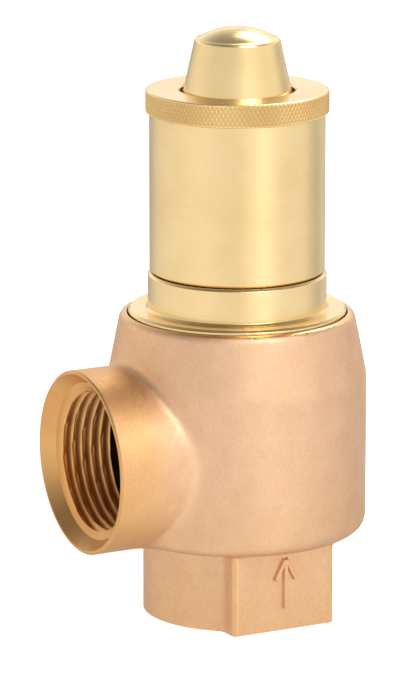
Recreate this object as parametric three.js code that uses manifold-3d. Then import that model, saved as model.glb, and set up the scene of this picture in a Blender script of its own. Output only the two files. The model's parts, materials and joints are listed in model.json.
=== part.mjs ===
// Angle-pattern pressure relief valve with a twist-to-lift cap, threaded at both ends for G1 pipe.
// Millimetres. +Z runs up the spindle, the outlet points along -X, and the spanner flats face -Y and +Y.
// Every piece is modelled on the spindle axis, with z = 0 in the inlet face. The whole is then moved
// along +X, so that the origin is the middle of its footprint in the plane of the inlet face.
import * as THREE from 'three';
import { mergeVertices } from 'three/addons/utils/BufferGeometryUtils.js';
import Module from 'manifold-3d';

const wasm = await Module();
wasm.setup();

// ---- Driving dimensions ----

// G1 pipe thread, and the running gaps between pieces
const THREAD_CREST_R = 15.15;
const THREAD_ROOT_R = 16.62;
const REST_GAP = 0.05;
const SLIDE_GAP = 0.05;
const TURN_GAP = 0.3;

// Cast body
const BOSS_R = 20.8;
const FLAT_HALF_SPAN = 21.85;
const LUG_LENGTH = 24.9;
const BODY_R = 28.5;
const BODY_BOTTOM_Z = 18.2;
const BODY_CORNER_R = 3.5;
const CONE_START_Z = 53.4;
const CONE_END_Z = 66.5;
const BODY_TOP_R = 25.9;
const BODY_TOP_Z = 67.3;
const NOZZLE_BORE_R = 13.0;
const INLET_MOUTH_R = 17.4;
const INLET_MOUTH_DEPTH = 2.2;
const INLET_THREAD_DEPTH = 14.5;
const INLET_RELIEF_END_Z = 17.0;
const CAVITY_R = 23.0;
const CAVITY_FLOOR_Z = 24.0;
const CAVITY_TOP_Z = 54.5;
const BONNET_BORE_R = 21.2;
const BONNET_RECESS_R = 24.3;
const BONNET_RECESS_Z = 64.9;

// Outlet branch
const OUTLET_Z = 37.5;
const OUTLET_LENGTH = 38.8;
const OUTLET_R = 20.25;
const OUTLET_RIM_INNER_R = 19.4;
const OUTLET_RECESS_R = 17.3;
const OUTLET_RECESS_DEPTH = 2.8;
const OUTLET_THREAD_START = 3.2;
const OUTLET_THREAD_END = 15.0;
const OUTLET_RELIEF_R = 18.0;
const OUTLET_RELIEF_END = 20.0;

// Bonnet
const SKIRT_R = 20.9;
const BONNET_BOTTOM_Z = 52.0;
const CHAMBER_FLOOR_Z = 56.0;
const FLANGE_R = 24.0;
const FLANGE_BOTTOM_Z = 65.55;
const FLANGE_TOP_Z = 68.3;
const BAND_R = 19.65;
const BAND_TOP_Z = 76.35;
const TUBE_R = 17.0;
const TUBE_TOP_Z = 107.0;
const CHAMBER_R = 14.2;
const BUSH_HOLE_R = 6.5;
const CAP_SEAL_Z = 82.0;
const CAP_SEAL_SECTION_R = 0.9;

// Lifting cap and knob
const CAP_BOTTOM_Z = 76.5;
const SLEEVE_R = 19.25;
const RING_R = 20.1;
const RING_BOTTOM_Z = 111.7;
const RING_TOP_Z = 116.9;
const RING_CHAMFER = 0.3;
const KNURL_DEPTH = 0.38;
const KNURL_TEETH = 80;
const CEILING_Z = 111.0;
const CAP_FLOOR_Z = 113.9;
const CAP_RECESS_R = 12.6;
const CAP_HOLE_R = 5.2;
const KNOB_BOTTOM_Z = 114.85;
const KNOB_BASE_R = 11.9;
const KNOB_SHOULDER_R = 9.4;
const KNOB_SHOULDER_Z = 127.6;
const KNOB_TOP_Z = 130.5;
const STOP_PIN_R = 0.9;
const STOP_PIN_RADIUS = 15.6;
const STOP_PIN_BOTTOM_Z = 103.95;
const STOP_PIN_TOP_Z = 110.4;
const STOP_PIN_GAP_DEG = 4.5;

// Spindle, disc and seat
const SPINDLE_R = 4.0;
const SPINDLE_BOTTOM_Z = 38.5;
const SPINDLE_TOP_Z = 124.0;
const COLLAR_R = 6.0;
const COLLAR_BOTTOM_Z = 57.5;
const SEAT_BORE_R = 9.5;
const SEAT_TOP_Z = 29.05;
const DISC_R = 11.45;
const DISC_BOTTOM_Z = 29.12;
const DISC_TOP_Z = 31.6;
const HOLDER_R = 14.5;
const HOLDER_TOP_Z = 44.0;
const DISC_PIN_Z = 41.5;
const DISC_PIN_R = 1.45;
const DISC_PIN_HALF_LENGTH = 7.7;
const DISC_SCREW_R = 2.5;
const DISC_HOLE_R = 2.7;

// Spring and its setting
const SPRING_BOTTOM_Z = 61.05;
const SPRING_TOP_Z = 93.95;
const SPRING_MEAN_R = 10.4;
const SPRING_WIRE_R = 1.6;
const SPRING_TURNS = 7;
const PLATE_BOTTOM_Z = 59.0;
const PLATE_R = 13.0;
const PLATE_BOSS_R = 8.4;
const PLATE_BOSS_HEIGHT = 2.0;
const ADJUSTER_R = 14.0;
const ADJUSTER_BOTTOM_Z = 96.1;
const ADJUSTER_TOP_Z = 103.0;
const LOCK_NUT_TOP_Z = 106.1;

// Facets around each kind of round piece
const BODY_SIDES = 48;
const CAP_SIDES = 48;
const MEDIUM_SIDES = 24;
const SMALL_SIDES = 24;

// ---- Helpers: geometry to solid, solid to geometry, profiles ----

// A three.js geometry as a manifold solid, with shared vertices merged and needle triangles dropped.
function toSolid(geometry) {
  const bare = geometry.clone();
  bare.deleteAttribute('normal');
  bare.deleteAttribute('uv');
  const merged = mergeVertices(bare, 1e-4);
  const triangles = [];
  const index = merged.index.array;
  for (let i = 0; i < index.length; i += 3) {
    const [a, b, c] = [index[i], index[i + 1], index[i + 2]];
    if (a !== b && b !== c && c !== a) {
      triangles.push(a, b, c);
    }
  }
  return new wasm.Manifold(new wasm.Mesh({
    numProp: 3,
    vertProperties: new Float32Array(merged.attributes.position.array),
    triVerts: new Uint32Array(triangles),
  }));
}

function toGeometry(solid) {
  const mesh = solid.getMesh();
  const geometry = new THREE.BufferGeometry();
  geometry.setAttribute('position', new THREE.BufferAttribute(mesh.vertProperties, 3));
  geometry.setIndex(new THREE.BufferAttribute(mesh.triVerts, 1));
  geometry.computeVertexNormals();
  return geometry;
}

// A solid turned about +Z from a profile of [radius, z] points, listed anticlockwise:
// out along the bottom, up the outside, in along the top. A profile off the axis is closed here.
function turned(profile, sides) {
  const points = profile.map(([radius, z]) => new THREE.Vector2(radius, z));
  const startsOnAxis = points[0].x === 0;
  if (!startsOnAxis) {
    points.push(points[0].clone());
  }
  const geometry = new THREE.LatheGeometry(points, sides);
  geometry.rotateX(Math.PI / 2);
  return toSolid(geometry);
}

// Points of an arc in a profile, from one angle to another, in degrees anticlockwise from +radius.
function arc(centreR, centreZ, radius, fromDeg, toDeg, steps) {
  const points = [];
  for (let i = 0; i <= steps; i += 1) {
    const angle = THREE.MathUtils.degToRad(fromDeg + ((toDeg - fromDeg) * i) / steps);
    points.push([centreR + radius * Math.cos(angle), centreZ + radius * Math.sin(angle)]);
  }
  return points;
}

// A plain rectangle profile between two radii and two heights.
function band(innerR, outerR, bottomZ, topZ) {
  return [[innerR, bottomZ], [outerR, bottomZ], [outerR, topZ], [innerR, topZ]];
}

function rod(radius, bottomZ, topZ, sides) {
  return turned([[0, bottomZ], [radius, bottomZ], [radius, topZ], [0, topZ]], sides);
}

function block(sizeX, sizeY, sizeZ, x, y, z) {
  const geometry = new THREE.BoxGeometry(sizeX, sizeY, sizeZ);
  geometry.translate(x, y, z);
  return toSolid(geometry);
}

function extruded(shape, depth, bottomZ) {
  const geometry = new THREE.ExtrudeGeometry(shape, { depth, bevelEnabled: false, curveSegments: 24 });
  geometry.translate(0, 0, bottomZ);
  return toSolid(geometry);
}

// A solid ring of round section, such as an O-ring.
function oRing(meanR, sectionR, z, sides) {
  const sectionSteps = 6;
  const circle = arc(meanR, z, sectionR, 0, 360, sectionSteps).slice(0, sectionSteps);
  return turned(circle, sides);
}

function polygonShape(sides, radiusAt) {
  const shape = new THREE.Shape();
  for (let i = 0; i < sides; i += 1) {
    const angle = (2 * Math.PI * i) / sides;
    const x = radiusAt(i) * Math.cos(angle);
    const y = radiusAt(i) * Math.sin(angle);
    if (i === 0) {
      shape.moveTo(x, y);
    } else {
      shape.lineTo(x, y);
    }
  }
  shape.closePath();
  return shape;
}

// ---- Cast body ----

function bodyOutside() {
  const edge = 0.8;
  return turned([
    [0, BODY_BOTTOM_Z],
    ...arc(BODY_R - BODY_CORNER_R, BODY_BOTTOM_Z + BODY_CORNER_R, BODY_CORNER_R, -90, 0, 4),
    [BODY_R, CONE_START_Z],
    [BODY_TOP_R, CONE_END_Z],
    [BODY_TOP_R - edge, BODY_TOP_Z],
    [0, BODY_TOP_Z],
  ], BODY_SIDES);
}

// Round inlet boss with the two spanner lugs.
function inletBoss() {
  const overlap = 2;
  const edge = 0.5;
  const boss = turned([
    [0, 0],
    [BOSS_R - edge, 0],
    [BOSS_R, edge],
    [BOSS_R, BODY_BOTTOM_Z + overlap],
    [0, BODY_BOTTOM_Z + overlap],
  ], BODY_SIDES);
  const lugHeight = BODY_BOTTOM_Z + overlap;
  return boss.add(block(LUG_LENGTH, 2 * FLAT_HALF_SPAN, lugHeight, 0, 0, lugHeight / 2));
}

// The outlet branch is turned about +Z with its mouth at z = 0 and its root above, then laid along -X.
function layAlongOutlet(solid) {
  return solid.rotate([0, 90, 0]).translate([-OUTLET_LENGTH, 0, OUTLET_Z]);
}

function outletOutside() {
  const edge = 0.35;
  const rootInsideBody = 19;
  return layAlongOutlet(turned([
    [0, 0],
    [OUTLET_R - edge, 0],
    [OUTLET_R, edge],
    [OUTLET_R, rootInsideBody],
    [0, rootInsideBody],
  ], BODY_SIDES));
}

// Mouth recess, thread bore and the wider relief behind it, which opens into the cavity.
function outletBore() {
  const pastFace = 1;
  const reliefEdge = 0.4;
  return layAlongOutlet(turned([
    [0, -pastFace],
    [OUTLET_RIM_INNER_R, -pastFace],
    [OUTLET_RIM_INNER_R, 0],
    [OUTLET_RECESS_R, OUTLET_RECESS_DEPTH],
    [THREAD_CREST_R, OUTLET_THREAD_START],
    [THREAD_CREST_R, OUTLET_THREAD_END],
    [OUTLET_RELIEF_R, OUTLET_THREAD_END + reliefEdge],
    [OUTLET_RELIEF_R, OUTLET_RELIEF_END],
    [0, OUTLET_RELIEF_END],
  ], BODY_SIDES));
}

// Inlet thread bore, nozzle bore, cavity, bonnet bore and bonnet recess, as one turned cutter.
function verticalBore() {
  const pastFace = 1;
  const reliefEdge = 0.5;
  return turned([
    [0, -pastFace],
    [INLET_MOUTH_R, -pastFace],
    [INLET_MOUTH_R, 0],
    [THREAD_CREST_R, INLET_MOUTH_DEPTH],
    [THREAD_CREST_R, INLET_THREAD_DEPTH],
    [THREAD_ROOT_R, INLET_THREAD_DEPTH + reliefEdge],
    [THREAD_ROOT_R, INLET_RELIEF_END_Z],
    [NOZZLE_BORE_R, INLET_RELIEF_END_Z],
    [NOZZLE_BORE_R, CAVITY_FLOOR_Z],
    [CAVITY_R, CAVITY_FLOOR_Z],
    [CAVITY_R, CAVITY_TOP_Z],
    [BONNET_BORE_R, CAVITY_TOP_Z],
    [BONNET_BORE_R, BONNET_RECESS_Z],
    [BONNET_RECESS_R, BONNET_RECESS_Z],
    [BONNET_RECESS_R, BODY_TOP_Z + pastFace],
    [0, BODY_TOP_Z + pastFace],
  ], BODY_SIDES);
}

// Raised flow arrow on the -Y spanner flat, drawn in three bars, pointing from the inlet up into the valve.
function flowArrow() {
  const raised = 0.7;
  const sunk = 0.5;
  const barWidth = 1.3;
  const centreX = 0.2;
  const tailZ = 5.0;
  const tipZ = 16.2;
  const barbLength = 5.4;
  const barbLeanDeg = 28;
  const bar = (length) => block(barWidth, raised + sunk, length, 0, 0, -length / 2);
  const arrow = bar(tipZ - tailZ)
    .add(bar(barbLength).rotate([0, barbLeanDeg, 0]))
    .add(bar(barbLength).rotate([0, -barbLeanDeg, 0]));
  return arrow.translate([centreX, -FLAT_HALF_SPAN - (raised - sunk) / 2, tipZ]);
}

function valveBody() {
  const outside = bodyOutside().add(inletBoss()).add(outletOutside()).add(flowArrow());
  return outside.subtract(verticalBore()).subtract(outletBore());
}

// ---- Seat ----

const SEAT_SEAL_Z = 21.55;

function seatRing() {
  const bottomZ = 18.5;
  const bodyR = 12.9;
  const grooveR = 11.2;
  const grooveHalf = 1.05;
  const flangeR = 14.6;
  const flangeBottomZ = CAVITY_FLOOR_Z + REST_GAP;
  const flangeTopZ = 25.8;
  const neckBottomR = 11.6;
  const neckBottomZ = 27.2;
  const neckTopR = 11.2;
  const edge = 0.5;
  return turned([
    [SEAT_BORE_R, bottomZ],
    [bodyR - edge, bottomZ],
    [bodyR, bottomZ + edge],
    [bodyR, SEAT_SEAL_Z - grooveHalf],
    [grooveR, SEAT_SEAL_Z - grooveHalf],
    [grooveR, SEAT_SEAL_Z + grooveHalf],
    [bodyR, SEAT_SEAL_Z + grooveHalf],
    [bodyR, flangeBottomZ],
    [flangeR, flangeBottomZ],
    [flangeR, flangeTopZ],
    [neckBottomR, neckBottomZ],
    [neckTopR, SEAT_TOP_Z - edge],
    [neckTopR - edge, SEAT_TOP_Z],
    [SEAT_BORE_R + edge, SEAT_TOP_Z],
    [SEAT_BORE_R, SEAT_TOP_Z - edge],
  ], MEDIUM_SIDES);
}

function seatORing() {
  const meanR = 12.1;
  const sectionR = 0.825;
  return oRing(meanR, sectionR, SEAT_SEAL_Z, MEDIUM_SIDES);
}

// ---- Disc ----

function sealDisc() {
  return turned(band(DISC_HOLE_R, DISC_R, DISC_BOTTOM_Z, DISC_TOP_Z), MEDIUM_SIDES);
}

const RETAINER_BOTTOM_Z = 27.6;

function sealRetainer() {
  const retainerR = 7.5;
  const edge = 0.4;
  const topZ = DISC_BOTTOM_Z - REST_GAP;
  return turned([
    [DISC_HOLE_R, RETAINER_BOTTOM_Z],
    [retainerR - edge, RETAINER_BOTTOM_Z],
    [retainerR, RETAINER_BOTTOM_Z + edge],
    [retainerR, topZ],
    [DISC_HOLE_R, topZ],
  ], MEDIUM_SIDES);
}

function discScrew() {
  const headR = 4.5;
  const headBottomZ = 25.4;
  const headTopZ = RETAINER_BOTTOM_Z - REST_GAP;
  const tipZ = 36.2;
  const edge = 0.4;
  const socketR = 2.3;
  const socketDepth = 1.2;
  const pastHead = 1;
  const screw = turned([
    [0, headBottomZ],
    [headR - edge, headBottomZ],
    [headR, headBottomZ + edge],
    [headR, headTopZ],
    [DISC_SCREW_R, headTopZ],
    [DISC_SCREW_R, tipZ - edge],
    [DISC_SCREW_R - edge, tipZ],
    [0, tipZ],
  ], SMALL_SIDES);
  const hexagon = polygonShape(6, () => socketR);
  const socket = extruded(hexagon, socketDepth + pastHead, headBottomZ - pastHead);
  return screw.subtract(socket);
}

function crossHole(radius) {
  const reach = 12;
  return rod(radius, -reach, reach, SMALL_SIDES).rotate([90, 0, 0]).translate([0, 0, DISC_PIN_Z]);
}

function discHolder() {
  const pocketR = DISC_R + 3 * SLIDE_GAP;
  const pocketTopZ = DISC_TOP_Z + 2 * REST_GAP;
  const skirtBottomZ = 29.6;
  const skirtTopZ = 34.5;
  const bossR = 8.0;
  const bossBottomZ = 38.5;
  const screwHoleTopZ = 36.5;
  const spindleHoleBottomZ = SPINDLE_BOTTOM_Z - 2 * REST_GAP;
  const screwHoleR = DISC_SCREW_R + SLIDE_GAP;
  const spindleHoleR = SPINDLE_R + 2 * SLIDE_GAP;
  const edge = 0.4;
  const holder = turned([
    [0, screwHoleTopZ],
    [screwHoleR, screwHoleTopZ],
    [screwHoleR, pocketTopZ],
    [pocketR, pocketTopZ],
    [pocketR, skirtBottomZ],
    [HOLDER_R - edge, skirtBottomZ],
    [HOLDER_R, skirtBottomZ + edge],
    [HOLDER_R, skirtTopZ],
    [bossR, bossBottomZ],
    [bossR, HOLDER_TOP_Z - edge],
    [bossR - edge, HOLDER_TOP_Z],
    [spindleHoleR, HOLDER_TOP_Z],
    [spindleHoleR, spindleHoleBottomZ],
    [0, spindleHoleBottomZ],
  ], MEDIUM_SIDES);
  return holder.subtract(crossHole(DISC_PIN_R + SLIDE_GAP));
}

function discPin() {
  const pin = rod(DISC_PIN_R, -DISC_PIN_HALF_LENGTH, DISC_PIN_HALF_LENGTH, SMALL_SIDES);
  return pin.rotate([90, 0, 0]).translate([0, 0, DISC_PIN_Z]);
}

// ---- Spindle and knob ----

function spindle() {
  const edge = 0.4;
  const collarTopZ = PLATE_BOTTOM_Z - REST_GAP;
  const shaft = turned([
    [0, SPINDLE_BOTTOM_Z],
    [SPINDLE_R - edge, SPINDLE_BOTTOM_Z],
    [SPINDLE_R, SPINDLE_BOTTOM_Z + edge],
    [SPINDLE_R, COLLAR_BOTTOM_Z],
    [COLLAR_R, COLLAR_BOTTOM_Z],
    [COLLAR_R, collarTopZ],
    [SPINDLE_R, collarTopZ],
    [SPINDLE_R, SPINDLE_TOP_Z - edge],
    [SPINDLE_R - edge, SPINDLE_TOP_Z],
    [0, SPINDLE_TOP_Z],
  ], SMALL_SIDES);
  return shaft.subtract(crossHole(DISC_PIN_R + SLIDE_GAP));
}

const NUT_POCKET_R = 7.8;
const NUT_POCKET_TOP_Z = 118.6;

// Tapered knob with a domed top. Its pocket hides the jam nut, and its bore takes the spindle's end.
function liftingKnob() {
  const edge = 0.3;
  const baseTopZ = 116.1;
  const shoulderRound = 0.9;
  const shoulderRise = 0.6 * shoulderRound;
  const shoulderMidR = KNOB_SHOULDER_R - 0.25 * shoulderRound;
  const shoulderMidZ = KNOB_SHOULDER_Z + 0.4 * shoulderRound;
  const domeHalfChord = KNOB_SHOULDER_R - shoulderRound;
  const domeRise = KNOB_TOP_Z - KNOB_SHOULDER_Z - shoulderRise;
  const domeRadius = (domeHalfChord ** 2 + domeRise ** 2) / (2 * domeRise);
  const domeEdgeDeg = THREE.MathUtils.radToDeg(Math.acos(domeHalfChord / domeRadius));
  const domeSteps = 6;
  const dome = arc(0, KNOB_TOP_Z - domeRadius, domeRadius, domeEdgeDeg, 90, domeSteps).slice(0, domeSteps);
  const threadR = SPINDLE_R + SLIDE_GAP;
  const threadTopZ = SPINDLE_TOP_Z + 0.5;
  return turned([
    [0, threadTopZ],
    [threadR, threadTopZ],
    [threadR, NUT_POCKET_TOP_Z],
    [NUT_POCKET_R, NUT_POCKET_TOP_Z],
    [NUT_POCKET_R, KNOB_BOTTOM_Z],
    [KNOB_BASE_R - edge, KNOB_BOTTOM_Z],
    [KNOB_BASE_R, KNOB_BOTTOM_Z + edge],
    [KNOB_BASE_R, baseTopZ],
    [KNOB_SHOULDER_R, KNOB_SHOULDER_Z],
    [shoulderMidR, shoulderMidZ],
    ...dome,
    [0, KNOB_TOP_Z],
  ], MEDIUM_SIDES);
}

function knobJamNut() {
  const hexR = 7.2;
  const bottomZ = KNOB_BOTTOM_Z + 0.5;
  const topZ = NUT_POCKET_TOP_Z - 0.2;
  const pastFace = 1;
  const nut = extruded(polygonShape(6, () => hexR), topZ - bottomZ, bottomZ);
  return nut.subtract(rod(SPINDLE_R + SLIDE_GAP, bottomZ - pastFace, topZ + pastFace, SMALL_SIDES));
}

function thrustWasher() {
  const innerR = 5.0;
  const outerR = 9.0;
  return turned(band(innerR, outerR, CAP_FLOOR_Z + REST_GAP, KNOB_BOTTOM_Z - REST_GAP), MEDIUM_SIDES);
}

// ---- Bonnet, bush, seals ----

function bonnet() {
  const edge = 0.5;
  const sealGrooveHalf = 1.1;
  const sealGrooveR = 15.4;
  const pinHoleBottomZ = STOP_PIN_BOTTOM_Z - REST_GAP;
  const pastTop = 1;
  const shell = turned([
    [BUSH_HOLE_R, BONNET_BOTTOM_Z],
    [SKIRT_R - edge, BONNET_BOTTOM_Z],
    [SKIRT_R, BONNET_BOTTOM_Z + edge],
    [SKIRT_R, FLANGE_BOTTOM_Z],
    [FLANGE_R, FLANGE_BOTTOM_Z],
    [FLANGE_R, FLANGE_TOP_Z - edge],
    [FLANGE_R - edge, FLANGE_TOP_Z],
    [BAND_R + edge, FLANGE_TOP_Z],
    [BAND_R, FLANGE_TOP_Z + edge],
    [BAND_R, BAND_TOP_Z - edge],
    [BAND_R - edge, BAND_TOP_Z],
    [TUBE_R, BAND_TOP_Z],
    [TUBE_R, CAP_SEAL_Z - sealGrooveHalf],
    [sealGrooveR, CAP_SEAL_Z - sealGrooveHalf],
    [sealGrooveR, CAP_SEAL_Z + sealGrooveHalf],
    [TUBE_R, CAP_SEAL_Z + sealGrooveHalf],
    [TUBE_R, TUBE_TOP_Z - edge],
    [TUBE_R - edge, TUBE_TOP_Z],
    [CHAMBER_R, TUBE_TOP_Z],
    [CHAMBER_R, CHAMBER_FLOOR_Z],
    [BUSH_HOLE_R, CHAMBER_FLOOR_Z],
  ], BODY_SIDES);
  return shell.subtract(stopPinRod(STOP_PIN_R + SLIDE_GAP, pinHoleBottomZ, TUBE_TOP_Z + pastTop));
}

function bonnetGasket() {
  const bottomZ = BONNET_RECESS_Z + REST_GAP;
  const topZ = FLANGE_BOTTOM_Z - REST_GAP;
  const sideGap = 0.4;
  return turned(band(SKIRT_R + sideGap, BONNET_RECESS_R - sideGap, bottomZ, topZ), BODY_SIDES);
}

const BUSH_SEAL_Z = 53.6;

function guideBush() {
  const outerR = BUSH_HOLE_R - SLIDE_GAP;
  const boreR = SPINDLE_R + SLIDE_GAP;
  const flangeR = 8.5;
  const flangeBottomZ = CHAMBER_FLOOR_Z + REST_GAP;
  const topZ = 57.05;
  const grooveHalf = 1.0;
  const grooveR = 5.95;
  const bottomZ = 50.5;
  const edge = 0.4;
  return turned([
    [boreR, bottomZ],
    [outerR - edge, bottomZ],
    [outerR, bottomZ + edge],
    [outerR, flangeBottomZ],
    [flangeR, flangeBottomZ],
    [flangeR, topZ],
    [boreR, topZ],
    [boreR, BUSH_SEAL_Z + grooveHalf],
    [grooveR, BUSH_SEAL_Z + grooveHalf],
    [grooveR, BUSH_SEAL_Z - grooveHalf],
    [boreR, BUSH_SEAL_Z - grooveHalf],
  ], MEDIUM_SIDES);
}

function spindleSeal() {
  const meanR = 5.0;
  const sectionR = 0.9;
  return oRing(meanR, sectionR, BUSH_SEAL_Z, MEDIUM_SIDES);
}

function capORing() {
  const outerR = TUBE_R + TURN_GAP - SLIDE_GAP;
  return oRing(outerR - CAP_SEAL_SECTION_R, CAP_SEAL_SECTION_R, CAP_SEAL_Z, BODY_SIDES);
}

// ---- Cap and its stop pin ----

// A rod at the stop pin's place, on the +Y side of the bonnet tube.
function stopPinRod(radius, bottomZ, topZ) {
  return rod(radius, bottomZ, topZ, SMALL_SIDES / 2).translate([0, STOP_PIN_RADIUS, 0]);
}

function turnStopPin() {
  return stopPinRod(STOP_PIN_R, STOP_PIN_BOTTOM_Z, STOP_PIN_TOP_Z);
}

// Rib under the cap's ceiling. Its two ends meet the stop pin at rest and after half a turn.
function stopRib() {
  const innerR = 14.7;
  const bottomZ = 108.0;
  const overlap = 0.2;
  const outerR = TUBE_R + TURN_GAP + overlap;
  const start = THREE.MathUtils.degToRad(90 + STOP_PIN_GAP_DEG);
  const end = THREE.MathUtils.degToRad(270 - STOP_PIN_GAP_DEG);
  const shape = new THREE.Shape();
  shape.absarc(0, 0, outerR, start, end, false);
  shape.absarc(0, 0, innerR, end, start, true);
  shape.closePath();
  return extruded(shape, CEILING_Z - bottomZ + overlap, bottomZ);
}

function knurl() {
  const rootR = RING_R - KNURL_DEPTH;
  const toothRadius = (i) => (i % 2 === 0 ? RING_R : rootR);
  const bottomZ = RING_BOTTOM_Z + RING_CHAMFER;
  const height = RING_TOP_Z - RING_BOTTOM_Z - 2 * RING_CHAMFER;
  const teeth = extruded(polygonShape(2 * KNURL_TEETH, toothRadius), height, bottomZ);
  const margin = 1;
  return teeth.subtract(rod(rootR - margin, bottomZ - margin, bottomZ + height + margin, CAP_SIDES));
}

function liftingCap() {
  const innerR = TUBE_R + TURN_GAP;
  const edge = 0.5;
  const recessEdge = 0.4;
  const ringR = RING_R - KNURL_DEPTH;
  const shell = turned([
    [innerR + recessEdge, CAP_BOTTOM_Z],
    [SLEEVE_R - edge, CAP_BOTTOM_Z],
    [SLEEVE_R, CAP_BOTTOM_Z + edge],
    [SLEEVE_R, RING_BOTTOM_Z],
    [ringR, RING_BOTTOM_Z + RING_CHAMFER],
    [ringR, RING_TOP_Z - RING_CHAMFER],
    [ringR - RING_CHAMFER, RING_TOP_Z],
    [CAP_RECESS_R + recessEdge, RING_TOP_Z],
    [CAP_RECESS_R, RING_TOP_Z - recessEdge],
    [CAP_RECESS_R, CAP_FLOOR_Z],
    [CAP_HOLE_R, CAP_FLOOR_Z],
    [CAP_HOLE_R, CEILING_Z],
    [innerR, CEILING_Z],
    [innerR, CAP_BOTTOM_Z + recessEdge],
  ], CAP_SIDES);
  return shell.add(stopRib()).add(knurl());
}

// ---- Spring and its setting ----

function lowerSpringPlate() {
  const boreR = SPINDLE_R + 2 * SLIDE_GAP;
  const topZ = SPRING_BOTTOM_Z - REST_GAP;
  const bossTopZ = topZ + PLATE_BOSS_HEIGHT;
  const edge = 0.4;
  return turned([
    [boreR, PLATE_BOTTOM_Z],
    [PLATE_R - edge, PLATE_BOTTOM_Z],
    [PLATE_R, PLATE_BOTTOM_Z + edge],
    [PLATE_R, topZ],
    [PLATE_BOSS_R, topZ],
    [PLATE_BOSS_R, bossTopZ - edge],
    [PLATE_BOSS_R - edge, bossTopZ],
    [boreR, bossTopZ],
  ], MEDIUM_SIDES);
}

function upperSpringPlate() {
  const boreR = SPINDLE_R + TURN_GAP;
  const bottomZ = SPRING_TOP_Z + REST_GAP;
  const topZ = ADJUSTER_BOTTOM_Z - 2 * REST_GAP;
  const bossBottomZ = bottomZ - PLATE_BOSS_HEIGHT;
  const edge = 0.4;
  return turned([
    [boreR, bossBottomZ],
    [PLATE_BOSS_R - edge, bossBottomZ],
    [PLATE_BOSS_R, bossBottomZ + edge],
    [PLATE_BOSS_R, bottomZ],
    [PLATE_R, bottomZ],
    [PLATE_R, topZ - edge],
    [PLATE_R - edge, topZ],
    [boreR, topZ],
  ], MEDIUM_SIDES);
}

// Centre line of the spring wire: a closed turn at each end and evenly pitched turns between them.
class SpringPath extends THREE.Curve {
  getPoint(t) {
    const closedGap = 0.25;
    const closedPitch = 2 * SPRING_WIRE_R + closedGap;
    const endInset = 0.6;
    const rise = SPRING_TOP_Z - SPRING_BOTTOM_Z - 2 * endInset;
    const openPitch = (rise - 2 * closedPitch) / (SPRING_TURNS - 2);
    const turn = t * SPRING_TURNS;
    const lowClosed = Math.min(turn, 1);
    const open = Math.min(Math.max(turn - 1, 0), SPRING_TURNS - 2);
    const highClosed = Math.max(turn - (SPRING_TURNS - 1), 0);
    const height = (lowClosed + highClosed) * closedPitch + open * openPitch;
    const angle = 2 * Math.PI * turn;
    return new THREE.Vector3(
      SPRING_MEAN_R * Math.cos(angle),
      SPRING_MEAN_R * Math.sin(angle),
      SPRING_BOTTOM_Z + endInset + height,
    );
  }
}

// The wire swept along its path, with both ends ground flat.
function pressureSpring() {
  const stepsPerTurn = 14;
  const wireSides = 6;
  const geometry = new THREE.ExtrudeGeometry(polygonShape(wireSides, () => SPRING_WIRE_R), {
    steps: stepsPerTurn * SPRING_TURNS,
    extrudePath: new SpringPath(),
    bevelEnabled: false,
  });
  const height = SPRING_TOP_Z - SPRING_BOTTOM_Z;
  const margin = 1;
  const width = 2 * (SPRING_MEAN_R + SPRING_WIRE_R + margin);
  const slab = block(width, width, height, 0, 0, (SPRING_TOP_Z + SPRING_BOTTOM_Z) / 2);
  return toSolid(geometry).intersect(slab);
}

// Threaded plug that loads the spring, with two holes for a pin spanner.
function adjustingScrew() {
  const edge = 0.6;
  const boreR = SPINDLE_R + 2 * SLIDE_GAP;
  const keyHoleR = 1.5;
  const keyHoleRadius = 10;
  const keyHoleDepth = 3;
  const pastTop = 1;
  const plug = turned([
    [boreR, ADJUSTER_BOTTOM_Z],
    [ADJUSTER_R - edge, ADJUSTER_BOTTOM_Z],
    [ADJUSTER_R, ADJUSTER_BOTTOM_Z + edge],
    [ADJUSTER_R, ADJUSTER_TOP_Z - edge],
    [ADJUSTER_R - edge, ADJUSTER_TOP_Z],
    [boreR, ADJUSTER_TOP_Z],
  ], MEDIUM_SIDES);
  const keyHole = rod(keyHoleR, ADJUSTER_TOP_Z - keyHoleDepth, ADJUSTER_TOP_Z + pastTop, SMALL_SIDES / 2);
  return plug.subtract(keyHole.translate([keyHoleRadius, 0, 0]))
    .subtract(keyHole.translate([-keyHoleRadius, 0, 0]));
}

// Ring nut with a cross slot for its spanner.
function lockNut() {
  const bottomZ = ADJUSTER_TOP_Z + 2 * REST_GAP;
  const innerR = 6.5;
  const edge = 0.5;
  const slotWidth = 3;
  const slotDepth = 1.3;
  const ring = turned([
    [innerR, bottomZ],
    [ADJUSTER_R - edge, bottomZ],
    [ADJUSTER_R, bottomZ + edge],
    [ADJUSTER_R, LOCK_NUT_TOP_Z - edge],
    [ADJUSTER_R - edge, LOCK_NUT_TOP_Z],
    [innerR, LOCK_NUT_TOP_Z],
  ], MEDIUM_SIDES);
  const slotLength = 2 * ADJUSTER_R + slotWidth;
  return ring.subtract(block(slotLength, slotWidth, 2 * slotDepth, 0, 0, LOCK_NUT_TOP_Z));
}

// ---- Materials ----

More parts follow.
